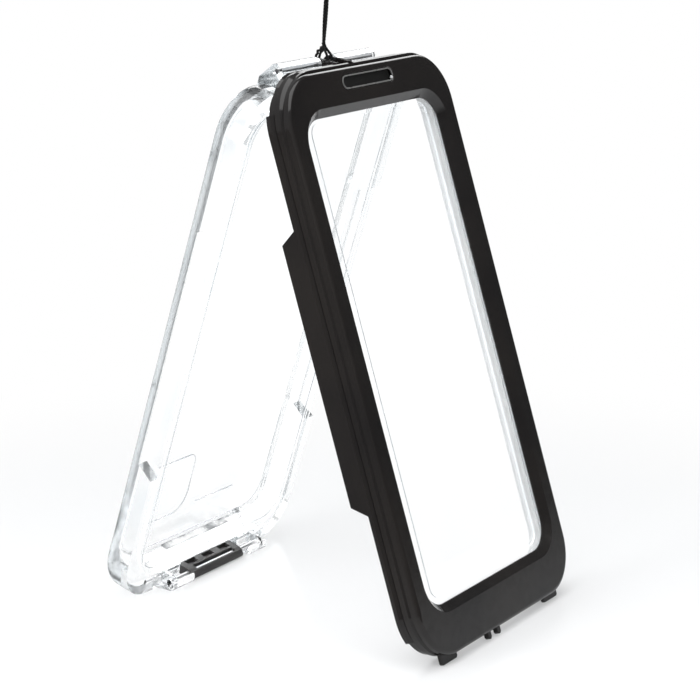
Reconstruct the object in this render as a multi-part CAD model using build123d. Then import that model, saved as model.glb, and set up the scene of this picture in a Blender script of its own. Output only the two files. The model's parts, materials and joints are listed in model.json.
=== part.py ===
from math import acos, atan2, cos, degrees, hypot, radians, sin
import os
from build123d import *

# Waterproof case for a 4-inch touch phone of about 124 x 59 x 8 mm.
# It stands open like a tent: the black front frame leans forward and the clear back shell leans back.
# Both halves are drawn closed and upright, and swung about the hinge pin at the end.
# Closed frame: X across, -Y out of the front, +Y out of the back, Z up, Y = 0 where the halves part,
# Z = 0 at the height of the hinge pin. All sizes are in millimetres.

# The phone, and the room that the pocket has round it
phone_width = 58.8
phone_length = 124.0
room_beside = 3.0
room_along = 3.5

# The two halves
cover_depth = 6.9
face_radius = 13.0
cover_over_shell = 1.18
cover_below_shell = 1.14
shell_depth = 8.5
shell_radius = 12.0
shell_back_round = 3.0
closing_gap = 0.2
cover_lean = 17.1

# The hinge
pin_radius = 0.8
pin_behind = 4.0
pin_over_shell = 4.05
hinge_shift = -1.6
running_fit = 0.05
seat_fit = 0.01
knuckle_radius = 1.95
knuckle_inner = 3.9
knuckle_outer = 21.4
pin_recess = 0.5
hinge_arm_inner = 2.3
hinge_arm_width = 1.3
hinge_arm_radius = 1.75

# The shell's pocket and rim
side_wall = 5.6
top_wall = 5.7
bottom_wall = 7.7
back_wall = 1.5
pocket_radius = 7.5
pocket_floor_bevel = 1.0
seal_offset = 1.0
tongue_width = 0.8
tongue_height = 0.9

# The seal in the cover
groove_width = 1.5
groove_depth = 2.4
seal_height = 1.2
seal_play = 0.05

# The cover's layers, window and cavity
layer_groove = 0.35
layer_groove_depth = 0.45
face_layer = 2.0
middle_layer = 2.3
face_round = 1.1
layer_round = 0.8
middle_rise = 1.2
hood_rise = 1.8
hood_back = -1.3
skirt_proud = 0.4
cavity_wall = 1.25
window_inset_side = 1.6
window_inset_top = 4.3
window_inset_bottom = 3.55
window_radius = 7.0
window_skin = 2.1
window_bevel = 2.1
window_bevel_depth = 1.8
bond_height = 0.25
pane_thickness = 1.2
pane_play = 0.1
film_thickness = 0.6
film_border = 4.2
liner_thickness = 0.45
liner_back = 0.05

# The earpiece slot
ear_width = 23.5
ear_height = 3.6
ear_top = 2.0
ear_depth = 1.4
ear_edge = 0.25
membrane_thickness = 0.3
membrane_play = 0.1

# The side tabs and the slots that take them
tab_start = 36.0
tab_length = 71.4
tab_reach = 4.7
tab_slant = 2.9
tab_thickness = 3.2
tab_play = 0.35
tab_edge = 0.6

# The latch bay, lever, bar and lock slider
lever_half = 22.0
bay_play = 0.6
bay_wall = 1.9
bay_back_skin = 1.6
bay_front_skin = 1.35
latch_pin_radius = 0.75
latch_pin_over = 2.9
latch_pivot_behind = 5.0
latch_pivot_up = 1.78
lever_ring = 1.6
lever_end_left = 9.7
lever_end_right = 7.5
lever_web_from_end = 2.7
lever_web_width = 1.5
bar_radius = 0.75
bar_back = -7.7
bar_up = 1.1
slider_gap = 0.3
slider_back = -3.8
slider_top = 2.3
slider_pocket_end = 2.45
slider_pocket_rib = 3.1
slider_pocket_across = 1.8
slider_pocket_wall = 0.35
slider_pocket_depth = 1.3
slider_slot_end = 3.0
slider_slot_front = 0.55
slider_slot_back = 1.05
catch_front = 1.7
catch_thickness = 1.0
catch_overlap = 1.0
toe_thickness = 0.9
toe_drop = 1.7
toe_back = -3.7
toe_outer = 30.2
barb_width = 1.5
barb_back = -4.9

# The lanyard
cord_diameter = 1.2
hitch_width = 3.2
hitch_rise = 3.4
hitch_knot = 2.6
lanyard_rise = 33.5
lanyard_lean = 0.05
end_knot_radius = 1.9

pocket_half = phone_width / 2 + room_beside
pocket_length = phone_length + 2 * room_along
half = pocket_half + side_wall
shell_top = -pin_over_shell
pocket_top = shell_top - top_wall
pocket_bottom = pocket_top - pocket_length
shell_bottom = pocket_bottom - bottom_wall
face_top = shell_top + cover_over_shell
face_bottom = shell_bottom - cover_below_shell
cavity_half = pocket_half + seal_offset - groove_width / 2 - cavity_wall
cavity_shrink = pocket_half - cavity_half
bay_half = lever_half + bay_play
latch_pin_reach = lever_half + latch_pin_over
lever_end_inner_left = lever_half - lever_end_left
lever_end_inner_right = lever_half - lever_end_right
lever_web_inner = lever_half - lever_web_from_end
slider_half = lever_end_inner_left - slider_gap
slider_pocket_width = (2 * slider_half - 2 * slider_pocket_end - 2 * slider_pocket_rib) / 3
slider_pocket_pitch = slider_pocket_width + slider_pocket_rib
slider_slot_half = slider_half - slider_slot_end
bay_top = pocket_bottom - bay_wall
latch_y = latch_pivot_behind
latch_z = shell_bottom + latch_pivot_up


def outline(half_width, top, bottom, top_radius, bottom_radius):
    """A rounded rectangle in X and Z, as a sketch."""
    shape = Pos(0, (top + bottom) / 2) * Rectangle(2 * half_width, top - bottom)
    shape = fillet(shape.vertices().group_by(Axis.Y)[-1], top_radius)
    return fillet(shape.vertices().group_by(Axis.Y)[0], bottom_radius)


def slab(sketch, y_from, y_to):
    """The sketch made solid from y_from to y_to, with y_from the nearer to the front."""
    return extrude(Plane.XZ.offset(-y_from) * sketch, amount=y_from - y_to)


def across(points, x_from, x_to):
    """A closed outline of (Y, Z) points made solid from x_from to x_to."""
    face = make_face(Polyline(*[(0, y, z) for y, z in points], close=True))
    return Pos(x_from, 0, 0) * extrude(face, amount=x_to - x_from, dir=(1, 0, 0))


def rod(radius, x_from, x_to, y, z):
    """A round bar along X."""
    return Pos((x_from + x_to) / 2, y, z) * Rot(0, 90, 0) * Cylinder(radius, x_to - x_from)


def block(x_from, x_to, y_from, y_to, z_from, z_to):
    """A box between two corners."""
    place = Pos((x_from + x_to) / 2, (y_from + y_to) / 2, (z_from + z_to) / 2)
    return place * Box(x_to - x_from, y_to - y_from, z_to - z_from)


def front_edges(solid, y):
    """The edges of a solid that lie in the plane at this Y."""
    return solid.edges().filter_by_position(Axis.Y, y - 0.01, y + 0.01)


def seal_line(grow):
    """The line that the tongue and the seal follow, grown by a distance, as a sketch."""
    reach = seal_offset + grow
    radius = pocket_radius + reach
    return outline(pocket_half + reach, pocket_top + reach, pocket_bottom - reach, radius, radius)


def cover_layers():
    """The frame's outside: a core, and three layers with a groove between each two."""
    depth = layer_groove_depth
    core = slab(
        outline(half - depth, face_top - depth, face_bottom + depth, face_radius, face_radius),
        -cover_depth + face_round, 0)
    face = slab(
        outline(half, face_top, face_bottom, face_radius, face_radius),
        -cover_depth, -cover_depth + face_layer)
    face = fillet(front_edges(face, -cover_depth), face_round)
    middle_front = -cover_depth + face_layer + layer_groove
    middle = slab(
        outline(half, face_top + middle_rise, face_bottom, face_radius + middle_rise, face_radius),
        middle_front, middle_front + middle_layer)
    middle = chamfer(front_edges(middle, middle_front), layer_round)
    skirt_front = middle_front + middle_layer + layer_groove
    skirt_half = half + skirt_proud
    skirt_top = face_top + hood_rise
    skirt = slab(
        outline(skirt_half, skirt_top, face_bottom, face_radius + hood_rise, face_radius),
        skirt_front, 0)
    skirt = chamfer(front_edges(skirt, skirt_front), layer_round)
    skirt -= skirt_gaps(skirt_front)
    skirt -= block(-half - 2, half + 2, hood_back, 1, face_top - 1.6, skirt_top + 1)
    neck = slab(
        outline(half - hood_rise, face_top + middle_rise - depth, face_bottom + hood_rise,
                face_radius, face_radius),
        -cover_depth + face_round, 0)
    return core + face + middle + skirt + neck


def skirt_gaps(skirt_front):
    """What the skirt leaves out: a short stretch below each top corner, and the bottom end."""
    gap_from, gap_to, skirt_end = 1.6, 7.8, 6.4
    inner = half - face_radius + 2.0
    gaps = block(-half - 2, half + 2, skirt_front - 1, 1, face_bottom - 2, face_bottom + skirt_end)
    for side in (-1, 1):
        corner = block(inner, half + 2, skirt_front - 1, 1, face_top - gap_to, face_top - gap_from)
        gaps += corner if side > 0 else mirror(corner, about=Plane.YZ)
    core = slab(
        outline(half - layer_groove_depth, face_top - layer_groove_depth,
                face_bottom + layer_groove_depth, face_radius, face_radius),
        skirt_front - 1, 1)
    return gaps - core


def side_tab():
    """The long tab that reaches back into the slot in the shell's left side."""
    top = face_top - tab_start
    bottom = top - tab_length
    profile = [(-1.0, top), (0, top), (tab_reach, top - tab_slant), (tab_reach, bottom + tab_slant),
               (0, bottom), (-1.0, bottom)]
    tab = across(profile, -half - skirt_proud, -half + tab_thickness)
    rim = tab.edges().filter_by(Axis.Z).filter_by_position(Axis.Y, tab_reach - 0.1, tab_reach + 0.1)
    return fillet(rim, tab_edge)


def hinge_arms():
    """The two arms that carry the cover on the pin, one each side of the lanyard."""
    arm = None
    for x in (hinge_shift - hinge_arm_inner - hinge_arm_width, hinge_shift + hinge_arm_inner):
        ring = rod(hinge_arm_radius, x, x + hinge_arm_width, pin_behind, 0)
        tongue = across(
            [(-2.0, face_top + hood_rise - 0.1), (pin_behind, hinge_arm_radius),
             (pin_behind, -hinge_arm_radius), (-2.0, face_top)],
            x, x + hinge_arm_width)
        arm = ring + tongue if arm is None else arm + ring + tongue
    bore = rod(pin_radius + running_fit, -knuckle_inner, knuckle_inner, pin_behind, 0)
    return arm - Pos(hinge_shift, 0, 0) * bore


def latch_recess():
    """The room for the latch in the cover: open to the back and to the floor."""
    depth = cover_depth - bay_front_skin
    return block(-bay_half, bay_half, -depth, 1, face_bottom - 2, cover_bay_top())


def cover_bay_top():
    """The ceiling of the cover's latch room, a small gap above the shell's latch bay."""
    return bay_top - 0.45


def catches():
    """The two hooks inside the latch room that the latch's bar holds."""
    bottom = latch_z + bar_up + bar_radius - catch_overlap
    hooks = None
    for side, inner in ((-1, lever_end_inner_left), (1, lever_end_inner_right)):
        x_from, x_to = sorted((side * (inner + 0.7), side * (lever_web_inner - 0.5)))
        hook = block(x_from, x_to, -catch_front, -catch_front + catch_thickness,
                     bottom, cover_bay_top() + 0.2)
        hooks = hook if hooks is None else hooks + hook
    return hooks


def toes():
    """The low toes under the cover's bottom edge that it stands on, and two small barbs between them."""
    low, high = face_bottom - toe_drop, face_bottom + 1.2
    foot = None
    for side in (-1, 1):
        x_from, x_to = sorted((side * toe_outer, side * (bay_half + 0.3)))
        toe = block(x_from, x_to, toe_back - toe_thickness, toe_back, low, high)
        toe = chamfer(toe.edges().filter_by(Axis.Y).group_by(Axis.Z)[0], toe_thickness / 2)
        foot = toe if foot is None else foot + toe
    for centre in (-8.8, -4.1):
        front = -cover_depth + bay_front_skin / 2
        barb = block(centre - barb_width / 2, centre + barb_width / 2, front, barb_back, low, high)
        foot += chamfer(barb.edges().filter_by(Axis.Y).group_by(Axis.Z)[0], barb_width / 3)
    return foot


def window(grow=0.0):
    """The window's outline, grown by a distance, as a sketch."""
    radius = window_radius + grow
    return outline(pocket_half - window_inset_side + grow, pocket_top - window_inset_top + grow,
                   pocket_bottom + window_inset_bottom - grow, radius, radius)


def cavity(grow=0.0):
    """The outline of the hollow behind the window, grown by a distance, as a sketch."""
    radius = pocket_radius + grow
    return outline(cavity_half + grow, pocket_top - cavity_shrink + grow,
                   pocket_bottom + cavity_shrink - grow, radius, radius)


def window_funnel():
    """What the sloping band round the window removes: wide at the face, the window's outline at its back."""
    wide = Plane.XZ.offset(cover_depth) * window(window_bevel)
    narrow = Plane.XZ.offset(cover_depth - window_bevel_depth) * window()
    return loft([wide, narrow])


def front_frame():
    frame = cover_layers() + side_tab() + hinge_arms()
    frame -= slab(cavity(), -cover_depth + window_skin, 1)
    frame -= window_funnel()
    frame -= slab(window(), -cover_depth - 1, 1)
    groove = seal_line(groove_width / 2) - seal_line(-groove_width / 2)
    frame -= slab(groove, -groove_depth, 1)
    frame -= latch_recess()
    frame += catches() + toes()
    frame -= lanyard_slot()
    return frame - earpiece_slot(0.0, ear_depth) - chamfer(
        front_edges(earpiece_slot(ear_edge, ear_edge), -cover_depth + ear_edge), ear_edge - 0.01)


def earpiece_slot(grow, depth):
    """A solid of the earpiece slot's outline, grown by a distance, from the face down to a depth."""
    centre = face_top - ear_top - ear_height / 2
    shape = Pos(0, centre) * SlotOverall(ear_width + 2 * grow, ear_height + 2 * grow)
    return slab(shape, -cover_depth, -cover_depth + depth)


def lanyard_slot():
    """The slot in the hood that the lanyard lies in when the cover is swung up, narrower at its front."""
    skirt_front = -cover_depth + face_layer + middle_layer + 2 * layer_groove
    wide = block(-hinge_arm_inner, hinge_arm_inner, skirt_front - 0.1, 1, face_top, 1)
    narrow = block(-cord_diameter, cord_diameter, -cover_depth + face_layer + 0.2, 1, face_top, 1)
    return Pos(hinge_shift, 0, 0) * (wide + narrow)


def window_pane():
    """The clear pane, thick at its border and thin where the screen is touched."""
    front = -cover_depth + window_skin + bond_height
    pane = slab(cavity(-pane_play), front, front + pane_thickness)
    return pane - slab(cavity(-pane_play - film_border), front - 1, front + pane_thickness - film_thickness)


def bond_ring():
    """The flat adhesive ring between the frame and the pane."""
    front = -cover_depth + window_skin
    return slab(cavity(-pane_play) - window(), front, front + bond_height)


def cavity_liner():
    """The pale silicone sleeve round the hollow, from the pane back to where the halves part."""
    front = -cover_depth + window_skin + bond_height + pane_thickness
    return slab(cavity(-pane_play) - cavity(-pane_play - liner_thickness), front, -liner_back)


def seal_ring():
    """The silicone ring at the bottom of the cover's groove."""
    reach = groove_width / 2 - seal_play
    ring = seal_line(reach) - seal_line(-reach)
    return slab(ring, -groove_depth, -groove_depth + seal_height)


def earpiece_membrane():
    """The thin black membrane on the floor of the earpiece slot."""
    centre = face_top - ear_top - ear_height / 2
    shape = Pos(0, centre) * SlotOverall(ear_width - 2 * membrane_play, ear_height - 2 * membrane_play)
    floor = -cover_depth + ear_depth
    return slab(shape, floor - membrane_thickness, floor)


def shell_knuckles():
    """The two clear hinge housings, each a barrel round the pin with a web down to the back."""
    housings = None
    for side in (-1, 1):
        x_from, x_to = sorted((side * knuckle_inner, side * knuckle_outer))
        barrel = rod(knuckle_radius, x_from, x_to, pin_behind, 0)
        front = pin_behind - knuckle_radius
        back = shell_depth - 0.15
        web = across(
            [(front, shell_top - 1), (front, 0), (pin_behind + 1.2, 1.5), (back, shell_top + 1.2),
             (back, shell_top - shell_back_round)],
            x_from, x_to)
        housings = barrel + web if housings is None else housings + barrel + web
    housings -= rod(pin_radius + seat_fit, -knuckle_outer - 1, knuckle_outer + 1, pin_behind, 0)
    return Pos(hinge_shift, 0, 0) * housings


def tab_slots():
    """The slots in the shell's sides that take the cover's tabs."""
    top = face_top - tab_start + tab_play
    bottom = face_top - tab_start - tab_length - tab_play
    floor = tab_reach + tab_play
    profile = [(-1.0, top), (0, top), (floor, top - tab_slant), (floor, bottom + tab_slant),
               (0, bottom), (-1.0, bottom)]
    slot = across(profile, half - tab_thickness - tab_play, half + 2)
    return slot + mirror(slot, about=Plane.YZ)


def back_shell():
    body = slab(
        outline(half, shell_top, shell_bottom, shell_radius, shell_radius), closing_gap, shell_depth)
    body = fillet(front_edges(body, shell_depth), shell_back_round)
    body += shell_knuckles()
    pocket = slab(
        outline(pocket_half, pocket_top, pocket_bottom, pocket_radius, pocket_radius),
        -2, shell_depth - back_wall)
    pocket = chamfer(front_edges(pocket, shell_depth - back_wall), pocket_floor_bevel)
    body -= pocket
    tongue = seal_line(tongue_width / 2) - seal_line(-tongue_width / 2)
    body += slab(tongue, -tongue_height, closing_gap + 0.1)
    body -= tab_slots()
    body -= block(-bay_half, bay_half, -2, shell_depth - bay_back_skin, shell_bottom - 2, bay_top)
    return body - rod(latch_pin_radius + seat_fit, -latch_pin_reach, latch_pin_reach, latch_y, latch_z)


def latch_points(points):
    """Points given from the latch's pivot, along Y and up, as (Y, Z)."""
    return [(latch_y + back, latch_z + up) for back, up in points]


def latch_lever():
    """The clear lever: a spine on the pivot pin and two open hooked ends that hold the bar."""
    spine_profile = latch_points([
        (-3.4, 2.4), (-3.4, -1.35), (-0.6, -1.55), (0.4, -1.5), (0.4, 1.5), (-0.8, 1.4), (-2.6, 2.4)])
    end_profile = latch_points([
        (-3.3, 3.3), (-4.7, 3.3), (-5.1, 0.0), (-8.9, 0.0), (-9.4, 2.4), (-9.75, 2.4), (-10.2, 1.6),
        (-10.2, 0.3), (-9.9, 0.05), (-5.0, -1.3), (-3.3, -1.4)])
    web_profile = latch_points([
        (-3.3, 3.3), (-7.4, 3.3), (-9.75, 2.4), (-10.2, 1.6), (-10.2, 0.3), (-9.9, 0.05), (-5.0, -1.3),
        (-3.3, -1.4)])
    lever = across(spine_profile, -lever_half, lever_half)
    lever += rod(lever_ring, -lever_half, lever_half, latch_y, latch_z)
    for side, inner in ((-1, lever_end_inner_left), (1, lever_end_inner_right)):
        ends = sorted((side * inner, side * lever_half))
        webs = sorted((side * lever_web_inner, side * (lever_web_inner + lever_web_width)))
        lever += across(end_profile, *ends) + across(web_profile, *webs)
    lever -= rod(latch_pin_radius + running_fit, -lever_half - 1, lever_half + 1, latch_y, latch_z)
    reach = lever_web_inner + lever_web_width
    return lever - rod(bar_radius + seat_fit, -reach + 0.4, reach - 0.4, latch_y + bar_back, latch_z + bar_up)


def latch_bar():
    """The steel bar across the lever, which the cover's catches hook behind."""
    reach = lever_web_inner + lever_web_width - 0.4
    return rod(bar_radius, -reach, reach, latch_y + bar_back, latch_z + bar_up)


def lock_slider():
    """The black block that slides on the bar, with three pockets along its back and a slot over the bar."""
    bar_y, bar_z = latch_y + bar_back, latch_z + bar_up
    profile = latch_points([
        (slider_back, slider_top), (-7.6, slider_top), (-8.7, 1.95), (-9.4, 1.2), (-9.6, 0.5), (-9.5, 0.1),
        (-9.1, -0.05), (-4.2, -1.1), (slider_back, -0.9)])
    body = across(profile, -slider_half, slider_half)
    ends = body.edges().filter_by_position(Axis.X, slider_half - 0.01, slider_half + 0.01)
    body = chamfer(ends, 0.35)
    top = latch_z + slider_top
    pocket_back = latch_y + slider_back - slider_pocket_wall
    for count in (-1, 0, 1):
        x = count * slider_pocket_pitch
        body -= block(x - slider_pocket_width / 2, x + slider_pocket_width / 2,
                      pocket_back - slider_pocket_across, pocket_back, top - slider_pocket_depth, top + 1)
    body -= block(-slider_slot_half, slider_slot_half, bar_y - slider_slot_front, bar_y + slider_slot_back,
                  bar_z, top + 1)
    return body - rod(bar_radius + running_fit, -slider_half - 1, slider_half + 1, bar_y, bar_z)


def hinge_pin():
    reach = knuckle_outer - pin_recess
    return rod(pin_radius, hinge_shift - reach, hinge_shift + reach, pin_behind, 0)


def latch_pivot_pin():
    return rod(latch_pin_radius, -latch_pin_reach, latch_pin_reach, latch_y, latch_z)


def lanyard_hitch(pin_y, pin_z):
    """The lanyard's two turns round the pin, drawn up into a small knot, as one plain form."""
    inner = pin_radius + 0.05
    outer = inner + cord_diameter
    x_from, x_to = hinge_shift - hitch_width / 2, hinge_shift + hitch_width / 2
    loop = rod(outer, x_from, x_to, pin_y, pin_z)
    neck = across(
        [(pin_y - outer, pin_z), (pin_y + outer, pin_z), (pin_y + hitch_knot / 2, pin_z + hitch_rise),
         (pin_y - hitch_knot / 2, pin_z + hitch_rise)],
        x_from, x_to)
    knot = Pos(hinge_shift, pin_y, pin_z + hitch_rise) * Cylinder(hitch_knot / 2, hitch_knot)
    knot = chamfer(knot.edges().filter_by(GeomType.CIRCLE), hitch_knot / 5)
    return loop + neck + knot - rod(inner, x_from - 1, x_to + 1, pin_y, pin_z)


def lanyard_route(pin_y, pin_z):
    """The cord's route above the hitch: pulled tight in one straight run."""
    start = (hinge_shift, pin_y, pin_z + hitch_rise + hitch_knot / 2)
    end = (start[0] + lanyard_rise * lanyard_lean, pin_y - lanyard_rise * lanyard_lean,
           start[2] + lanyard_rise)
    return [start, end]


def lanyard_cord(points):
    run = Line(*points)
    return sweep(Plane(run @ 0, z_dir=run % 0) * Circle(cord_diameter / 2), path=run)


def lanyard_end_knot(points):
    x, y, z = points[-1]
    knot = Pos(x, y, z + end_knot_radius) * Cylinder(end_knot_radius, 2 * end_knot_radius)
    return chamfer(knot.edges().filter_by(GeomType.CIRCLE), end_knot_radius * 0.45)


def swing(part, lean, pin_height):
    """Swings a half about the pin from closed and upright to its lean, and lifts the pin to its height."""
    turned = Pos(0, pin_behind, 0) * Rot(lean, 0, 0) * Pos(0, -pin_behind, 0) * part
    return Pos(0, 0, pin_height) * turned


cover_parts = {
    "front_frame": front_frame(), "window_pane": window_pane(), "bond_ring": bond_ring(),
    "cavity_liner": cavity_liner(), "seal_ring": seal_ring(), "earpiece_membrane": earpiece_membrane()}
shell_parts = {
    "back_shell": back_shell(), "hinge_pin": hinge_pin(), "latch_pivot_pin": latch_pivot_pin(),
    "latch_lever": latch_lever(), "latch_bar": latch_bar(), "lock_slider": lock_slider()}

# The cover's toes stand on the floor, which gives the pin's height, and the shell leans until it stands too.
leaning_frame = swing(cover_parts["front_frame"], -cover_lean, 0)
pin_height = -leaning_frame.bounding_box().min.Z
foot_reach = hypot(pin_behind - closing_gap, shell_bottom)
shell_lean = degrees(acos(pin_height / foot_reach) + atan2(pin_behind - closing_gap, -shell_bottom))

parts = {name: swing(part, -cover_lean, pin_height) for name, part in cover_parts.items()}
parts.update({name: swing(part, shell_lean, pin_height) for name, part in shell_parts.items()})

# The origin is on the floor, midway between the feet of the two halves.
boxes = [part.bounding_box() for part in parts.values()]
middle_y = (min(box.min.Y for box in boxes) + max(box.max.Y for box in boxes)) / 2
middle_x = (min(box.min.X for box in boxes) + max(box.max.X for box in boxes)) / 2
parts = {name: Pos(-middle_x, -middle_y, 0) * part for name, part in parts.items()}
pin_y = pin_behind - middle_y

route = lanyard_route(pin_y, pin_height)
parts["lanyard_hitch"] = lanyard_hitch(pin_y, pin_height)
parts["lanyard_cord"] = lanyard_cord(route)
parts["lanyard_end_knot"] = lanyard_end_knot(route)

latch_turn = radians(shell_lean)
latch_from_pin = (latch_y - pin_behind, latch_z)
latch_axis_y = pin_y + latch_from_pin[0] * cos(latch_turn) - latch_from_pin[1] * sin(latch_turn)
latch_axis_z = pin_height + latch_from_pin[0] * sin(latch_turn) + latch_from_pin[1] * cos(latch_turn)
print("pin at Y", round(pin_y, 4), "Z", round(pin_height, 4))
print("shell lean", round(shell_lean, 4), "opening", round(shell_lean + cover_lean, 4))
print("latch pivot at Y", round(latch_axis_y, 4), "Z", round(latch_axis_z, 4))
print("lanyard route", [tuple(round(v, 3) for v in point) for point in route])

os.makedirs("parts", exist_ok=True)
for name, part in parts.items():
    export_step(part, f"parts/{name}.step")
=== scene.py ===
# %% [markdown]
# # A waterproof phone case, opened and stood up like a tent
#
# The case has two halves on one steel pin: a black front frame with a clear window, and a clear back shell.
# The solids come from the CAD model, packed as a frame of bodies. This scene gives them their finishes,
# winds the lanyard from real strands, adds the trim that is too fine for the solids, and sets up the
# studio.

import json
import math

import bmesh
import bpy
from mathutils import Matrix, Quaternion, Vector


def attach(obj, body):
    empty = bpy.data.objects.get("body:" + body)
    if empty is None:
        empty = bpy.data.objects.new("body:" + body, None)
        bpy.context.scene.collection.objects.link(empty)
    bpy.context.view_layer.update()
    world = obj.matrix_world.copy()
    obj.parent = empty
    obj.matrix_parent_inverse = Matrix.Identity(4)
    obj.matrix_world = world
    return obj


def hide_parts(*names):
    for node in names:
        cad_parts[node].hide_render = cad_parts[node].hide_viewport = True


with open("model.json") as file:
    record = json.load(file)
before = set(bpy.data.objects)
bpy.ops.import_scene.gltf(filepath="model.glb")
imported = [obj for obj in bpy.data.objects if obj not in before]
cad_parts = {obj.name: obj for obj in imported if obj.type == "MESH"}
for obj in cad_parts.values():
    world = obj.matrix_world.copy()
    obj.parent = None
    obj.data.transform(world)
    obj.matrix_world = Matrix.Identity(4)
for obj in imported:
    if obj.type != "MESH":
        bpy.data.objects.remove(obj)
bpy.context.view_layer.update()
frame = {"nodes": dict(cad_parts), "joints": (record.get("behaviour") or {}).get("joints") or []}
nodes = frame["nodes"]
scene = bpy.context.scene

# %% [markdown]
# ## The two halves' own directions
#
# Each half was drawn closed and upright, and then swung about the hinge pin. Detail that sits on a half is
# easiest to place in that closed frame: X across, y out of the back, z up, with the pin at y = 4 mm, z = 0.
# The hinge joint gives the pin's place, so one small function turns such a point into the real one.

# %% Closed-frame points to real points
MM = 0.001
hinge = next(joint for joint in frame["joints"] if joint["name"] == "cover_hinge")
PIN = Vector(hinge["pos_m"])
PIN_BEHIND = 4.0
COVER_LEAN = math.radians(-17.1)
SHELL_LEAN = COVER_LEAN + math.radians(35.1282)


def on_half(lean, x, y, z):
    """The real place, in metres, of a closed-frame point in millimetres."""
    dy, dz = (y - PIN_BEHIND) * MM, z * MM
    c, s = math.cos(lean), math.sin(lean)
    return Vector((x * MM, PIN.y + dy * c - dz * s, PIN.z + dy * s + dz * c))


def on_cover(x, y, z):
    return on_half(COVER_LEAN, x, y, z)


def on_shell(x, y, z):
    return on_half(SHELL_LEAN, x, y, z)


print("pin", tuple(round(v, 5) for v in PIN))

# %% [markdown]
# ## The camera
#
# The photograph was taken with a long lens from low on the left. A long lens keeps the case's edges nearly
# parallel. The camera is placed from the hinge pin, and looks along a fixed direction, rolled by a hair.

# %% Camera
CAMERA_FROM_PIN = Vector((-479.21, -314.36, 64.02))
AZIMUTH, ELEVATION, ROLL = math.radians(57.286), math.radians(13.652), math.radians(-0.233)
camera_data = bpy.data.cameras.new("camera")
camera = bpy.data.objects.new("camera", camera_data)
scene.collection.objects.link(camera)
camera_data.sensor_width = 36.0
camera_data.lens = 115.8
camera_data.clip_start, camera_data.clip_end = 0.01, 20.0
camera.location = Vector((0.0, PIN.y, PIN.z)) + CAMERA_FROM_PIN * MM
look = Vector((math.sin(AZIMUTH) * math.cos(ELEVATION), math.cos(AZIMUTH) * math.cos(ELEVATION),
               -math.sin(ELEVATION)))
camera.rotation_mode = "QUATERNION"
camera.rotation_quaternion = look.to_track_quat("-Z", "Y") @ Quaternion((0.0, 0.0, 1.0), ROLL)
scene.camera = camera
print("camera", tuple(round(v, 4) for v in camera.location))

# %% [markdown]
# ## Helpers for node trees
#
# The world, the finishes and the Geometry Nodes below are all trees of nodes. One helper adds a node and
# fills its sockets, where a socket takes a plain value or another node's output. Three more make what the
# shader trees need over and over: a range mapped to another range, one of Blender's sums, and a mix of two
# shaders.

# %% Node helpers
def add(tree, kind, inputs=None, **settings):
    """A new node. An input is a value to set, or another node's output to link."""
    made = tree.nodes.new(kind)
    for name, value in settings.items():
        setattr(made, name, value)
    for socket, value in (inputs or {}).items():
        if isinstance(value, bpy.types.NodeSocket):
            tree.links.new(value, made.inputs[socket])
        else:
            made.inputs[socket].default_value = value
    return made


def ranged(tree, value, span, results, kind="LINEAR"):
    """Maps a value's span to a range of results, and holds it at both ends."""
    return add(tree, "ShaderNodeMapRange", {
        "Value": value, "From Min": span[0], "From Max": span[1], "To Min": results[0], "To Max": results[1]},
        interpolation_type=kind).outputs["Result"]


def maths(tree, operation, *values):
    return add(tree, "ShaderNodeMath", dict(enumerate(values)), operation=operation).outputs[0]


def mixed(tree, share, first, second):
    """The first shader where share is 0, the second where it is 1."""
    return add(tree, "ShaderNodeMixShader", {"Fac": share, 1: first, 2: second}).outputs[0]


print("helpers ready")

# %% [markdown]
# ## The studio's world
#
# The case stands before a white wall, so its clear plastic shows by its edges alone, and its black plastic
# mirrors a dim room. One background can't do both, so the world holds four, and Light Path picks the one
# that a ray sees. Camera rays see white behind the case. Rays that come through clear plastic see white
# straight ahead and grey to the side, which draws the edges. Diffuse rays see a sky that is bright above on
# the left and dark on the right, and mirror rays see a dimmer copy of that sky.

# %% World
WHITE = (1.0, 1.0, 1.0)
COOL = (0.97, 0.985, 1.0)
BRIGHT_SIDE = (-0.55, 0.35, 0.75)
world = bpy.data.worlds.new("studio")
scene.world = world
world.use_nodes = True
tree = world.node_tree
tree.nodes.clear()
direction = add(tree, "ShaderNodeTexCoord").outputs["Generated"]


def background_towards(towards, span, strengths, colour):
    """A background whose strength rises from the first to the second value towards a direction."""
    dot = add(tree, "ShaderNodeVectorMath", {0: direction, 1: Vector(towards).normalized()},
              operation="DOT_PRODUCT")
    strength = ranged(tree, dot.outputs["Value"], span, strengths, "SMOOTHSTEP")
    return add(tree, "ShaderNodeBackground", {"Color": (*colour, 1.0), "Strength": strength}).outputs[0]


seen = background_towards(look, (-0.9, 0.3), (0.45, 1.0), WHITE)
through = background_towards(look, (-0.3, 0.95), (0.72, 1.16), (0.985, 0.995, 1.0))
lit = background_towards(BRIGHT_SIDE, (-0.35, 0.9), (0.1, 1.0), COOL)
mirrored = background_towards(BRIGHT_SIDE, (-0.35, 0.9), (0.1, 0.4), COOL)
path = add(tree, "ShaderNodeLightPath")
layer = lit
for ray, shader in (("Is Glossy Ray", mirrored), ("Is Camera Ray", seen), ("Is Transmission Ray", through)):
    layer = mixed(tree, path.outputs[ray], layer, shader)
add(tree, "ShaderNodeOutputWorld", {"Surface": layer})
print("world made with", len(tree.nodes), "nodes")

# %% [markdown]
# ## The lamps
#
# Soft boxes are Area lamps: the larger the area, the softer the shadow's edge. A broad one hangs overhead,
# and two weaker ones fill in from the left and the front, hidden from mirror rays so that no square patch
# shows in the black gloss. The fourth, behind on the right, only gives the frame's top edges their
# highlight, so it is hidden from diffuse rays.

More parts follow.
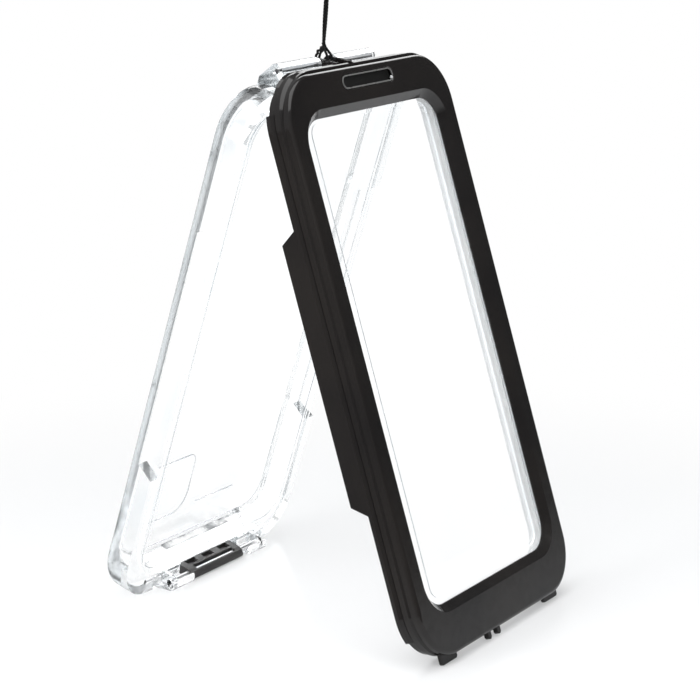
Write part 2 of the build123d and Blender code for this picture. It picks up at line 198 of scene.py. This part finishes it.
# %% Lamps
def lamp(name, place, aim, size, power):
    """A soft rectangular lamp."""
    data = bpy.data.lights.new(name, "AREA")
    data.shape = "RECTANGLE"
    data.size, data.size_y = size
    data.energy = power
    obj = bpy.data.objects.new(name, data)
    scene.collection.objects.link(obj)
    obj.location = place
    obj.rotation_mode = "QUATERNION"
    obj.rotation_quaternion = (Vector(aim) - Vector(place)).to_track_quat("-Z", "Y")
    return obj


lamp("overhead", (-0.1, -0.1, 0.9), (0.0, 0.0, 0.05), (0.9, 0.9), 5.0)
lamp("left", (-0.8, 0.25, 0.45), (0.0, 0.0, 0.08), (0.5, 0.7), 4.0).visible_glossy = False
lamp("front", (-0.25, -0.9, 0.5), (0.0, 0.0, 0.06), (0.6, 0.4), 2.5).visible_glossy = False
lamp("rim", (0.75, 0.28, 0.6), (0.0, 0.0, 0.14), (0.7, 0.35), 3.0).visible_diffuse = False

# %% [markdown]
# ## Materials
#
# Every finish is built on one Principled shader, and its fine detail is noise on Object coordinates, so it
# stays in place on the piece from every side. Small helpers make the noise, spread it over a range of
# values, raise the surface by it, or turn it into a colour. They keep each finish down to the few numbers
# that matter.

# %% Material helpers
def new_material(name):
    made = bpy.data.materials.new(name)
    made.use_nodes = True
    return made, made.node_tree, made.node_tree.nodes["Principled BSDF"]


def noise(tree, scale, detail, stretch=(1.0, 1.0, 1.0), turn=(0.0, 0.0, 0.0)):
    """A noise on the object's own coordinates. stretch squeezes it along an axis, as brushing does."""
    where = add(tree, "ShaderNodeTexCoord").outputs["Object"]
    mapped = add(tree, "ShaderNodeMapping", {"Vector": where, "Scale": stretch, "Rotation": turn})
    return add(tree, "ShaderNodeTexNoise", {
        "Vector": mapped.outputs["Vector"], "Scale": scale, "Detail": detail}).outputs["Fac"]


def set_roughness(tree, shader, value, low, high):
    """Spreads a noise's middle values over a range of roughness."""
    tree.links.new(ranged(tree, value, (0.3, 0.7), (low, high)), shader.inputs["Roughness"])


def set_colour(tree, shader, value, low, high):
    """A base colour that goes from low to high with a noise."""
    ramp = add(tree, "ShaderNodeValToRGB", {"Fac": value})
    for stop, colour, place in zip(ramp.color_ramp.elements, (low, high), (0.35, 0.65)):
        stop.color, stop.position = (*colour, 1.0), place
    tree.links.new(ramp.outputs["Color"], shader.inputs["Base Color"])


def bump(tree, shader, value, height):
    """Raises the surface by up to height metres where value is high."""
    raised = add(tree, "ShaderNodeBump", {"Distance": height, "Strength": 1.0, "Height": value})
    tree.links.new(raised.outputs["Normal"], shader.inputs["Normal"])


def show(tree, shader):
    tree.links.new(shader, tree.nodes["Material Output"].inputs["Surface"])


print("material helpers ready")

# %% [markdown]
# ### Clear polycarbonate
#
# The back shell, the lever and the window are moulded clear. Real moulded plastic is a little wavy, and its
# gloss has faint flow marks, so roughness, tint and bump all follow a slow noise. Thick plastic is also a
# bit grey inside, which Volume Absorption gives with depth. Glass shaders cast a dark shadow, because a
# shadow ray doesn't bend, so shadow and diffuse rays mostly pass straight on: a clear half casts only a
# pale shadow.

# %% Clear plastics
INSIDE_GREY = (0.72, 0.765, 0.79, 1.0)


def clear_plastic(name, tint, clearness, rough_low, rough_high, waviness, scale, depth_tint=0.0):
    made, tree, shader = new_material(name)
    shader.inputs["Transmission Weight"].default_value = clearness
    shader.inputs["IOR"].default_value = 1.49
    flow = noise(tree, scale, 2.0)
    set_colour(tree, shader, flow, tint, WHITE)
    set_roughness(tree, shader, flow, rough_low, rough_high)
    bump(tree, shader, noise(tree, scale * 0.6, 1.0), waviness)
    if depth_tint:
        inside = add(tree, "ShaderNodeVolumeAbsorption", {"Color": INSIDE_GREY, "Density": depth_tint})
        tree.links.new(inside.outputs[0], tree.nodes["Material Output"].inputs["Volume"])
    path = add(tree, "ShaderNodeLightPath")
    light = maths(tree, "MAXIMUM", path.outputs["Is Shadow Ray"], path.outputs["Is Diffuse Ray"])
    passes = ranged(tree, light, (0.0, 1.0), (0.0, 0.8))
    show(tree, mixed(tree, passes, shader.outputs[0], add(tree, "ShaderNodeBsdfTransparent").outputs[0]))
    return made


clear_shell = clear_plastic("clear_shell", (0.95, 0.968, 0.978), 1.0, 0.06, 0.12, 0.00003, 60.0,
                            depth_tint=11.0)
clear_lever = clear_plastic("clear_lever", (0.93, 0.95, 0.96), 1.0, 0.03, 0.08, 0.00003, 180.0)
clear_window = clear_plastic("clear_window", (0.99, 0.995, 1.0), 1.0, 0.0, 0.02, 0.00002, 40.0)
# A grey-tinted clear plastic: its tint is painted shade for the thin lines along moulded edges.
painted_edge_shade = clear_plastic("painted_edge_shade", (0.42, 0.46, 0.49), 0.7, 0.1, 0.2, 0.00001, 90.0)
# A dark tint that makes the bar above the latch dark.
dark_strip = clear_plastic("dark_strip", (0.07, 0.08, 0.09), 0.2, 0.2, 0.35, 0.00001, 140.0)
print("clear plastics made")

# %% [markdown]
# ### The window's matt walls
#
# The window is the clearest piece. Its thick border ends in a low step towards the thin middle, and that
# wall and the pane's cut edges are matt, as a moulded edge is. Which faces are walls is a fact of the
# pane's shape: they stand across the direction that the plate faces. So the mesh carries it as an attribute
# on its faces, and the finish reads that attribute to lay a frosted white over the clear plastic.

# %% Matt walls
def mark_walls(mesh, facing):
    """Writes 1 on the faces that stand across a plate's facing direction, and 0 on the others."""
    wall = mesh.attributes.new("wall", "FLOAT", "FACE")
    for face, mark in zip(mesh.polygons, wall.data):
        mark.value = 1.0 if abs(face.normal.dot(facing)) < 0.35 else 0.0
    return sum(mark.value for mark in wall.data)


def frost_walls(made):
    """Lays a nearly opaque frosted white over a clear finish, where the mesh says wall."""
    tree = made.node_tree
    clear = tree.nodes["Material Output"].inputs["Surface"].links[0].from_socket
    wall = add(tree, "ShaderNodeAttribute", attribute_name="wall").outputs["Fac"]
    frost = add(tree, "ShaderNodeBsdfDiffuse", {"Color": (0.9, 0.93, 0.95, 1.0)}).outputs[0]
    show(tree, mixed(tree, ranged(tree, wall, (0.0, 1.0), (0.0, 0.92)), clear, frost))


PANE_FACING = Vector((0.0, math.cos(COVER_LEAN), math.sin(COVER_LEAN)))
frost_walls(clear_window)
print("wall faces", mark_walls(nodes["window_pane"].data, PANE_FACING))

# %% [markdown]
# ### Black and dark finishes
#
# The front frame is gloss black with a slight orange peel. The slider is a dark grey satin moulding, the
# seal is matte silicone, the earpiece membrane is a fine matte film, and the bead round it is glossy, with a
# light grey colour that is a painted highlight along the slot's edge. They are one recipe with other numbers:
# a cloudy colour, and a grain that drives both the roughness and the bump.

# %% Dark finishes
def dark_plastic(name, low, high, rough, grain_scale, grain_height, specular=0.5):
    made, tree, shader = new_material(name)
    set_colour(tree, shader, noise(tree, 35.0, 4.0), low, high)
    grain = noise(tree, grain_scale, 4.0)
    set_roughness(tree, shader, grain, *rough)
    shader.inputs["Specular IOR Level"].default_value = specular
    bump(tree, shader, grain, grain_height)
    return made


gloss_black = dark_plastic("gloss_black", (0.008, 0.007, 0.007), (0.014, 0.012, 0.011), (0.07, 0.16),
                           420.0, 0.000012)
satin_slider = dark_plastic("satin_slider", (0.035, 0.034, 0.034), (0.06, 0.058, 0.057), (0.35, 0.5),
                            1800.0, 0.00003)
black_silicone = dark_plastic("black_silicone", (0.012, 0.012, 0.012), (0.022, 0.022, 0.022), (0.5, 0.7),
                              1500.0, 0.00003)
fine_membrane = dark_plastic("fine_membrane", (0.008, 0.008, 0.0078), (0.018, 0.018, 0.0175), (0.5, 0.7),
                             5200.0, 0.00004, specular=0.15)
# The bead's light grey colour is a painted highlight along the earpiece slot's edge.
bead_painted_highlight = dark_plastic("bead_painted_highlight", (0.1, 0.1, 0.098), (0.15, 0.15, 0.146), (0.25, 0.35), 900.0, 0.00001)
print("dark finishes made")

# %% [markdown]
# ### Adhesive film, silicone and steel
#
# The ring that holds the pane is a clear film, slightly milky, and the sleeve behind the window is a pale
# silicone that lets some light in. The pins and the bar are drawn steel: the brushing runs along X, so its
# noise is squeezed along that axis, and metal needs no more than that and a varied roughness.

# %% Film, silicone and steel
def milky_film():
    made, tree, shader = new_material("milky_film")
    shader.inputs["Transmission Weight"].default_value = 0.8
    shader.inputs["IOR"].default_value = 1.47
    cloud = noise(tree, 300.0, 5.0)
    set_colour(tree, shader, cloud, (0.72, 0.74, 0.76), (0.86, 0.87, 0.88))
    set_roughness(tree, shader, cloud, 0.25, 0.45)
    return made


def soft_silicone():
    made, tree, shader = new_material("pale_silicone")
    shader.inputs["Transmission Weight"].default_value = 0.35
    shader.inputs["IOR"].default_value = 1.41
    cloud = noise(tree, 120.0, 4.0)
    set_colour(tree, shader, cloud, (0.93, 0.945, 0.95), (0.97, 0.975, 0.975))
    set_roughness(tree, shader, cloud, 0.3, 0.45)
    return made


def drawn_steel():
    made, tree, shader = new_material("drawn_steel")
    shader.inputs["Metallic"].default_value = 1.0
    lines = noise(tree, 900.0, 4.0, stretch=(0.04, 1.0, 1.0))
    set_colour(tree, shader, lines, (0.5, 0.5, 0.51), (0.72, 0.72, 0.73))
    set_roughness(tree, shader, lines, 0.18, 0.34)
    bump(tree, shader, lines, 0.000006)
    return made


film = milky_film()
pale_silicone = soft_silicone()
steel = drawn_steel()
print("film, silicone and steel made")

# %% [markdown]
# ### Lanyard thread
#
# The lanyard is a thin black cord of twisted yarn. Each strand gets fine slanting fibres from a stretched
# noise, and a soft sheen, because thread scatters light at its edges.

# %% Thread
def thread():
    made, tree, shader = new_material("thread")
    fibre = noise(tree, 2600.0, 3.0, stretch=(1.0, 1.0, 0.25), turn=(0.0, 0.6, 0.0))
    set_colour(tree, shader, fibre, (0.002, 0.002, 0.002), (0.009, 0.0088, 0.0085))
    set_roughness(tree, shader, fibre, 0.55, 0.85)
    shader.inputs["Sheen Weight"].default_value = 0.05
    shader.inputs["Sheen Roughness"].default_value = 0.4
    shader.inputs["Specular IOR Level"].default_value = 0.3
    bump(tree, shader, fibre, 0.00006)
    return made


lanyard_thread = thread()
print("thread made")

# %% [markdown]
# ## Finishes on the CAD pieces
#
# A piece whose solid already has its real shape keeps it, and only gets its finish. A table from node to
# finish says which is which, and is easier to check than a row of assignments.

# %% Assign finishes
finishes = {
    "back_shell": clear_shell, "front_frame": gloss_black, "window_pane": clear_window, "bond_ring": film,
    "cavity_liner": pale_silicone, "seal_ring": black_silicone, "earpiece_membrane": fine_membrane,
    "hinge_pin": steel, "latch_pivot_pin": steel, "latch_bar": steel, "latch_lever": clear_lever,
    "lock_slider": satin_slider,
}
for name, finish in finishes.items():
    mesh = nodes[name].data
    mesh.materials.clear()
    mesh.materials.append(finish)
print("finished", len(finishes), "solids")

# %% [markdown]
# ## Strands wound by Geometry Nodes
#
# A thread is a bundle of yarns, and a cord is a bundle of threads. One small node group makes both: it
# copies each spline a few times, and pushes every copy off the line along a direction that turns as it
# goes. Used twice, it winds yarns into threads, and threads into a cord.

# %% The twist group
def twist_group():
    """Copies each spline, and winds the copies round it as a helix."""
    tree = bpy.data.node_groups.new("twist", "GeometryNodeTree")
    for name, kind in (("Curve", "Geometry"), ("Copies", "Int"), ("Radius", "Float"), ("Turns", "Float"),
                       ("Start", "Float")):
        tree.interface.new_socket(name, in_out="INPUT", socket_type="NodeSocket" + kind)
    tree.interface.new_socket("Curve", in_out="OUTPUT", socket_type="NodeSocketGeometry")
    given = add(tree, "NodeGroupInput").outputs
    copies = add(tree, "GeometryNodeDuplicateElements", {
        "Geometry": given["Curve"], "Amount": given["Copies"]}, domain="SPLINE").outputs
    along = add(tree, "GeometryNodeSplineParameter").outputs["Factor"]
    share = maths(tree, "DIVIDE", copies["Duplicate Index"], given["Copies"])
    wound = maths(tree, "ADD", maths(tree, "MULTIPLY", along, given["Turns"]), share)
    angle = maths(tree, "MULTIPLY", maths(tree, "ADD", wound, given["Start"]), 2 * math.pi)
    normal = add(tree, "GeometryNodeInputNormal").outputs["Normal"]
    tangent = add(tree, "GeometryNodeInputTangent").outputs["Tangent"]
    across = add(tree, "ShaderNodeVectorMath", {0: tangent, 1: normal}, operation="CROSS_PRODUCT").outputs[0]

    def pushed(way, turn):
        """A direction, as long as the radius times the sine or cosine of the angle."""
        reach = maths(tree, "MULTIPLY", maths(tree, turn, angle), given["Radius"])
        return add(tree, "ShaderNodeVectorMath", {0: way, "Scale": reach}, operation="SCALE").outputs[0]

    total = add(tree, "ShaderNodeVectorMath", {0: pushed(normal, "COSINE"), 1: pushed(across, "SINE")},
                operation="ADD").outputs[0]
    moved = add(tree, "GeometryNodeSetPosition", {"Geometry": copies["Geometry"], "Offset": total})
    add(tree, "NodeGroupOutput", {"Curve": moved.outputs["Geometry"]})
    return tree


twist = twist_group()
print("twist group has", len(twist.nodes), "nodes")

# %% [markdown]
# The rope tree runs the group twice over a resampled line, and sweeps a small round section along each
# yarn. Its inputs are set by their socket identifiers, so the same tree winds the cord, the hitch and the
# knot, and with a single yarn it also lays every fine bead on the case.

# %% The rope tree
def rope_tree():
    tree = bpy.data.node_groups.new("rope", "GeometryNodeTree")
    names = {}
    for name, kind in (("Line", "Geometry"), ("Points", "Int"), ("Threads", "Int"),
                       ("Thread Radius", "Float"), ("Thread Turns", "Float"), ("Start", "Float"),
                       ("Yarns", "Int"), ("Yarn Offset", "Float"), ("Yarn Turns", "Float"),
                       ("Yarn Radius", "Float"), ("Material", "Material")):
        made = tree.interface.new_socket(name, in_out="INPUT", socket_type="NodeSocket" + kind)
        names[name] = made.identifier
    tree.interface.new_socket("Mesh", in_out="OUTPUT", socket_type="NodeSocketGeometry")
    given = add(tree, "NodeGroupInput").outputs
    curve = add(tree, "GeometryNodeMeshToCurve", {"Mesh": given["Line"]}).outputs["Curve"]
    even = add(tree, "GeometryNodeResampleCurve", {"Curve": curve, "Count": given["Points"]}).outputs["Curve"]
    threads = add(tree, "GeometryNodeGroup", {
        "Curve": even, "Copies": given["Threads"], "Radius": given["Thread Radius"],
        "Turns": given["Thread Turns"], "Start": given["Start"]}, node_tree=twist).outputs["Curve"]
    yarns = add(tree, "GeometryNodeGroup", {
        "Curve": threads, "Copies": given["Yarns"], "Radius": given["Yarn Offset"],
        "Turns": given["Yarn Turns"]}, node_tree=twist).outputs["Curve"]
    section = add(tree, "GeometryNodeCurvePrimitiveCircle", {"Resolution": 7, "Radius": given["Yarn Radius"]})
    sweep = add(tree, "GeometryNodeCurveToMesh", {
        "Curve": yarns, "Profile Curve": section.outputs["Curve"], "Fill Caps": True}).outputs["Mesh"]
    smooth = add(tree, "GeometryNodeSetShadeSmooth", {"Geometry": sweep}).outputs["Geometry"]
    real = add(tree, "GeometryNodeRealizeInstances", {"Geometry": smooth}).outputs["Geometry"]
    painted = add(tree, "GeometryNodeSetMaterial", {"Geometry": real, "Material": given["Material"]})
    add(tree, "NodeGroupOutput", {"Mesh": painted.outputs["Geometry"]})
    return tree, names


rope, rope_inputs = rope_tree()
print("rope inputs", list(rope_inputs))

# %% [markdown]
# ## Lines, and what is swept along them
#
# A route has only a few points. A NURBS curve through their span is smooth and never swings wide of them,
# so it is sampled first, and the rope tree gets the samples as a chain of edges. The evaluated result is
# then taken as a plain mesh and the modifier removed, so that the piece is finished geometry.

# %% Lines and ropes
def smooth_line(name, points):
    """The points of a smooth spline with these control points, in metres."""
    data = bpy.data.curves.new(name, "CURVE")
    data.dimensions = "3D"
    data.resolution_u = 24
    spline = data.splines.new("NURBS")
    spline.points.add(len(points) - 1)
    for point, place in zip(spline.points, points):
        point.co = (*place, 1.0)
    spline.order_u = 3
    spline.use_endpoint_u = True
    holder = bpy.data.objects.new(name, data)
    scene.collection.objects.link(holder)
    bpy.context.view_layer.update()
    sampled = bpy.data.meshes.new_from_object(holder.evaluated_get(bpy.context.evaluated_depsgraph_get()))
    found = [tuple(v.co) for v in sampled.vertices]
    bpy.data.objects.remove(holder)
    return found


def wind(name, line, settings):
    """A mesh piece of yarns wound along a line of points."""
    mesh = bpy.data.meshes.new(name + "_line")
    mesh.from_pydata(line, [(i, i + 1) for i in range(len(line) - 1)], [])
    piece = bpy.data.objects.new(name, mesh)
    scene.collection.objects.link(piece)
    modifier = piece.modifiers.new("rope", "NODES")
    modifier.node_group = rope
    for key, value in settings.items():
        modifier[rope_inputs[key]] = value
    bpy.context.view_layer.update()
    made = bpy.data.meshes.new_from_object(piece.evaluated_get(bpy.context.evaluated_depsgraph_get()))
    piece.modifiers.clear()
    piece.data = made
    made.name = name
    print(name, len(made.polygons), "faces")
    return piece


def lay_bead(name, line, points, radius, finish):
    """One round bead along a line: a rope of a single yarn."""
    return wind(name, line, {
        "Points": points, "Threads": 1, "Thread Radius": 0.0, "Thread Turns": 0.0, "Start": 0.0, "Yarns": 1,
        "Yarn Offset": 0.0, "Yarn Turns": 0.0, "Yarn Radius": radius, "Material": finish})


print("ready to wind")

# %% [markdown]
# ## The lanyard's cord
#
# Two black threads lie side by side in the cord, and turn slowly round each other. The route is the CAD
# model's own straight run, with one more point on it, because this kind of spline needs three. It rises from
# the hitch and leans a little forwards and to the right. Something above the view holds the cord taut, so it
# has no sag.

# %% Cord
route = [(-0.0016, 0.002409, 0.147038), (-0.00123, 0.00204, 0.15444), (0.000075, 0.000734, 0.180538)]
cord_line = smooth_line("cord_route", route)
thread_yarns = {"Yarns": 3, "Yarn Offset": 0.00018, "Yarn Radius": 0.00018, "Material": lanyard_thread}
cord = wind("lanyard", cord_line, {
    "Points": 260, "Threads": 2, "Thread Radius": 0.0003, "Thread Turns": 0.8, "Start": 0.0,
    "Yarn Turns": 14.0, **thread_yarns})
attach(cord, "shell")
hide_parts("lanyard_cord")

# %% [markdown]
# ## The hitch
#
# Round the pin the cord makes a cow hitch: down the front, under the pin, up the back, over both threads,
# and the same way back on the other side. The second half mirrors the first, so only one half is a list of
# places.

# %% Hitch
PIN_X = -1.6


def round_pin(points):
    """Points in millimetres from the pin's middle under the lanyard, as metres."""
    return [((PIN_X + x) * MM, PIN.y + y * MM, PIN.z + z * MM) for x, y, z in points]


down = [(0.3, 0.0, 5.2), (0.3, -0.1, 4.4), (0.55, -0.7, 3.4), (1.05, -2.0, 1.7), (1.05, -1.7, -0.7),
        (0.95, -0.3, -1.3), (0.95, 1.0, -1.05), (0.95, 1.9, 0.3), (0.9, 1.9, 1.7), (0.6, 1.2, 2.8)]
over = [(0.2, 1.0, 3.6), (-0.5, 0.4, 4.2), (-0.9, -0.3, 3.7), (-0.6, 0.0, 2.9), (-0.9, 0.9, 3.4),
        (-0.8, 1.5, 2.9)]
back = [(-x, y, z) for x, y, z in down[::-1]]
hitch_line = smooth_line("hitch_route", round_pin(down + over + back))
hitch = wind("hitch", hitch_line, {
    "Points": 320, "Threads": 1, "Thread Radius": 0.0, "Thread Turns": 0.0, "Start": 0.0,
    "Yarn Turns": 13.0, **thread_yarns})
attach(hitch, "shell")
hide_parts("lanyard_hitch")

# %% [markdown]
# ## The end knot
#
# The cord ends above the view in an overhand knot. A trefoil is the curve that a plain overhand knot follows,
# so a short formula makes it: a small circle, a larger one that turns the other way at twice the speed, and
# a wave that lifts one strand over the other at each crossing.

# %% End knot
KNOT = Vector((0.075, 0.734, 180.538))
KNOT_SIZE, KNOT_MIDDLE, KNOT_WAVE, KNOT_STEPS = 0.42, 1.95, 0.55, 24
KNOT_SHARE, KNOT_START = 0.93, 0.22
knot_points = []
for step in range(KNOT_STEPS + 1):
    t = 2 * math.pi * (step / KNOT_STEPS) * KNOT_SHARE + KNOT_START
    knot_points.append(tuple((KNOT + Vector((
        KNOT_SIZE * (math.sin(t) + 2 * math.sin(2 * t)), KNOT_SIZE * (math.cos(t) - 2 * math.cos(2 * t)),
        KNOT_MIDDLE - KNOT_WAVE * math.sin(3 * t)))) * MM))
ends = (tuple(KNOT * MM), tuple((KNOT + Vector((0.2, 0.1, 3.6))) * MM))
knot_line = smooth_line("knot_route", [ends[0]] + knot_points + [ends[1]])
knot = wind("end_knot", knot_line, {
    "Points": 420, "Threads": 2, "Thread Radius": 0.00028, "Thread Turns": 3.0, "Start": 0.0,
    "Yarn Turns": 16.0, **thread_yarns})
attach(knot, "shell")
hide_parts("lanyard_end_knot")

# %% [markdown]
# ## The earpiece's bead and pip
#
# A fine gloss bead runs round the mouth of the earpiece slot. It is swept along a rounded line, and catches
# light all the way round, where a square edge would not, and its light grey colour adds a painted highlight.
# A small pale pip in the slot's right end is a painted glint.

# %% Bead and pip
BEAD_CENTRE_Z, BEAD_HALF_RUN, BEAD_ROUND, BEAD_Y = -6.67, 9.95, 1.58, -6.74
GLINT_PLACE, GLINT_RADIUS = (10.95, -6.66, -7.5), 0.42
ARC_STEPS = 14
bead_line = []
for side, start in ((1, 0.0), (-1, math.pi)):
    for step in range(ARC_STEPS + 1):
        a = math.pi * (step / ARC_STEPS - 0.5) + start
        bead_line.append(tuple(on_cover(side * BEAD_HALF_RUN + BEAD_ROUND * math.cos(a), BEAD_Y,
                                        BEAD_CENTRE_Z + BEAD_ROUND * math.sin(a))))
bead = lay_bead("earpiece_bead", bead_line + bead_line[:1], 160, 0.0002, bead_painted_highlight)
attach(bead, "cover")

# The pip's pale colour is a painted glint at the slot's right end.
glint_form = bmesh.new()
bmesh.ops.create_icosphere(glint_form, subdivisions=3, radius=GLINT_RADIUS * MM,
                           matrix=Matrix.Translation(on_cover(*GLINT_PLACE)))
glint_mesh = bpy.data.meshes.new("earpiece_glint")
glint_form.to_mesh(glint_mesh)
glint_mesh.materials.append(pale_silicone)
glint_mesh.shade_smooth()
glint = bpy.data.objects.new("earpiece_glint", glint_mesh)
scene.collection.objects.link(glint)
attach(glint, "cover")
print("bead", len(bead.data.vertices), "vertices, pip", len(glint_mesh.vertices))

# %% [markdown]
# ## The shell's fine moulding lines
#
# The clear shell's back plate carries the outline of a low raised panel with a rounded corner, and a second
# line across it. The pocket's mouth and floor have fine edges that read as thin grey lines. They are too
# fine for the solids, so they are beads of clear plastic, laid on the plate and round the mouth, and their
# grey tint is painted shade that draws those lines.

# %% Moulding lines
PLATE = 6.97


def arc(centre_x, centre_z, radius, start, end, steps=8):
    """Points on an arc in a half's closed frame, as (x, z)."""
    turns = [math.radians(start + (end - start) * i / steps) for i in range(steps + 1)]
    return [(centre_x + radius * math.cos(t), centre_z + radius * math.sin(t)) for t in turns]


def moulded(name, flat_points, y, radius):
    """A thin bead along (x, z) points at a depth y of the shell's closed frame."""
    line = [tuple(on_shell(x, y, z)) for x, z in flat_points]
    piece = lay_bead(name, line, 40 + 4 * len(line), radius * MM, painted_edge_shade)
    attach(piece, "shell")


panel = [(-24.0, -113.5), (-10.5, -113.5)] + arc(-10.5, -116.5, 3.0, 90, 0) + [(-7.4, -125.5)]
panel += arc(-13.2, -125.5, 5.8, 0, -90) + [(-24.0, -131.3)]
moulded("panel_outline", panel, PLATE - 0.05, 0.15)
moulded("panel_line", [(-2.2, -130.3), (15.5, -130.4)], PLATE - 0.05, 0.15)

# %% [markdown]
# The pocket's two edges are rounded rectangles. The mouth's line is four arcs that the bead joins by
# straight runs, and the floor's line is the same one drawn a little smaller about the pocket's middle.

# %% Mouth and floor edges
MOUTH_HALF, MOUTH_TOP, MOUTH_BOTTOM, MOUTH_ROUND = 32.3, -9.85, -140.65, 7.4
MIDDLE_Z = -75.25
FLOOR_ACROSS, FLOOR_ALONG = 0.965, 0.985
mouth = []
for side, level, start in ((1, MOUTH_TOP - MOUTH_ROUND, 90), (1, MOUTH_BOTTOM + MOUTH_ROUND, 0),
                           (-1, MOUTH_BOTTOM + MOUTH_ROUND, -90), (-1, MOUTH_TOP - MOUTH_ROUND, -180)):
    mouth += arc(side * (MOUTH_HALF - MOUTH_ROUND), level, MOUTH_ROUND, start, start - 90)
mouth.append(mouth[0])
floor = [(x * FLOOR_ACROSS, MIDDLE_Z + (z - MIDDLE_Z) * FLOOR_ALONG) for x, z in mouth]
moulded("mouth_edge", mouth, 0.26, 0.11)
moulded("floor_edge", floor, PLATE - 0.02, 0.09)

# %% [markdown]
# ## The dark strip
#
# Above the latch, the pocket's end wall shows a dark bar. It is a thin bevelled bar of nearly black
# plastic, made as a cube whose corners are moved to their places on the shell and whose edges are then
# rounded.

# %% Dark strip
STRIP_SIZE, STRIP_Y, STRIP_Z, STRIP_BEVEL = (29.2, 2.3, 0.24), 5.45, -140.6, 0.08
strip_form = bmesh.new()
bmesh.ops.create_cube(strip_form, size=1.0)
for vertex in strip_form.verts:
    x, y, z = (share * size for share, size in zip(vertex.co, STRIP_SIZE))
    vertex.co = on_shell(x, STRIP_Y + y, STRIP_Z + z)
bmesh.ops.bevel(strip_form, geom=list(strip_form.edges), offset=STRIP_BEVEL * MM, segments=2, affect="EDGES")
strip_mesh = bpy.data.meshes.new("latch_strip")
strip_form.to_mesh(strip_mesh)
strip_mesh.materials.append(dark_strip)
strip = bpy.data.objects.new("latch_strip", strip_mesh)
scene.collection.objects.link(strip)
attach(strip, "shell")
print("strip", len(strip_mesh.vertices), "vertices")

# %% [markdown]
# ## The table
#
# The table is a white sheet that runs far past the view. It is nearly white by its colour alone, and keeps
# the case's soft shadow. Rays from the camera, straight or through the clear plastic, see it mixed with
# plain white: partly near the case and wholly further off, so that it melts into the wall.

# %% Table sheet and its white
REACH = 6.0
table_mesh = bpy.data.meshes.new("table")
table_mesh.from_pydata([(-REACH, -REACH, 0), (REACH, -REACH, 0), (REACH, REACH, 0), (-REACH, REACH, 0)],
                       [], [(0, 1, 2, 3)])
table = bpy.data.objects.new("table", table_mesh)
scene.collection.objects.link(table)
white_table, tree, shader = new_material("white_table")
shader.inputs["Base Color"].default_value = (0.85, 0.855, 0.86, 1.0)
shader.inputs["Roughness"].default_value = 0.2
shader.inputs["Specular IOR Level"].default_value = 0.6
path = add(tree, "ShaderNodeLightPath").outputs
place = add(tree, "ShaderNodeTexCoord").outputs["Object"]
clear_ray = path["Is Transmission Ray"]
white = add(tree, "ShaderNodeEmission", {"Strength": ranged(tree, clear_ray, (0.0, 1.0), (1.0, 1.16))})
far = add(tree, "ShaderNodeVectorMath", {0: place}, operation="LENGTH").outputs["Value"]
near_share = ranged(tree, clear_ray, (0.0, 1.0), (0.3, 0.72))
fade = ranged(tree, far, (0.08, 0.24), (near_share, 1.0), "SMOOTHSTEP")
seen_ray = maths(tree, "MAXIMUM", path["Is Camera Ray"], clear_ray)
sheet = mixed(tree, maths(tree, "MULTIPLY", seen_ray, fade), shader.outputs[0], white.outputs[0])
print("table's white made")

# %% [markdown]
# The black frame's left side faces the table's far left, and in the photograph only a dark room shows
# there. So mirror rays see that side dim. Cycles also counts a ray through clear plastic as a glossy one,
# and such a ray has to see the table white, so only a ray that is glossy and not a transmission ray is a
# mirror ray.

# %% Table seen in mirrors
RIGHT_AND_NEAR = Vector((0.75, -0.66, 0.0)).normalized()
side = add(tree, "ShaderNodeVectorMath", {0: place, 1: RIGHT_AND_NEAR}, operation="DOT_PRODUCT")
dim = ranged(tree, side.outputs["Value"], (-0.12, 0.12), (0.85, 0.0), "SMOOTHSTEP")
mirror_ray = maths(tree, "GREATER_THAN", path["Is Glossy Ray"], clear_ray)
dusk = add(tree, "ShaderNodeEmission", {"Color": (0.5, 0.5, 0.5, 1.0), "Strength": 0.1})
show(tree, mixed(tree, maths(tree, "MULTIPLY", mirror_ray, dim), sheet, dusk.outputs[0]))
table_mesh.materials.append(white_table)
print("table tree has", len(tree.nodes), "nodes")

# %% [markdown]
# ## The finish
#
# Standard view keeps colours as they were written. Clear plastic in front of clear plastic needs many
# bounces, or its deepest parts go black.

# %% Finish
scene.view_settings.view_transform = "Standard"
scene.cycles.max_bounces = 24
scene.cycles.glossy_bounces = 16
scene.cycles.transmission_bounces = 20
scene.cycles.transparent_max_bounces = 16
